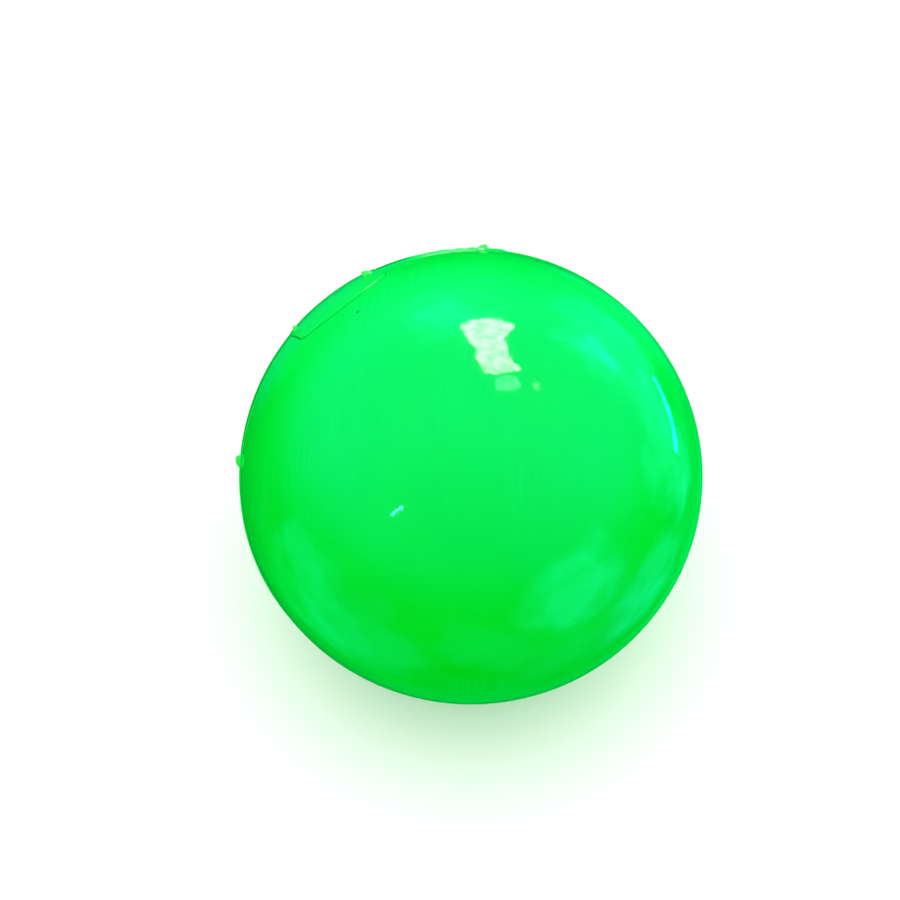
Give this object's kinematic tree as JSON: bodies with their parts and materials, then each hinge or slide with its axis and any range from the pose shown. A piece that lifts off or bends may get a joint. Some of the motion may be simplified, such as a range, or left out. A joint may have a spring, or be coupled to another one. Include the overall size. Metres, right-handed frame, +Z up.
{
  "type": "stress ball",
  "caption": "Large round squeeze ball with a smooth glossy stretchy skin, a soft dough filling and a plugged filling port under a glued closure patch.",
  "frame": {"origin": "centre of the flat patch that the ball rests on", "axes": "+Z up through the crown, and the ball is round about Z; the closure lies to the back left, between +Y and -X, 36 degrees above the horizontal"},
  "size_m": [0.116, 0.116, 0.1027],
  "materials": {
    "skin_rubber": "gloss",
    "dough": "satin",
    "plug_rubber": "satin",
    "adhesive": "gloss",
    "patch_rubber": "gloss"
  },
  "bodies": {
    "ball": {"skin": "skin_rubber", "filling": "dough"},
    "closure": {"fill_plug": "plug_rubber", "bond_film": "adhesive", "closure_patch": "patch_rubber"}
  },
  "joints": [
    {"name": "squeeze", "type": "slide", "parent": "ball", "child": "closure", "axis": [0, 0, -1], "range_m": [0, 0.026], "stiffness_N_per_m": 1200, "deforming": ["skin", "filling"]}
  ]
}
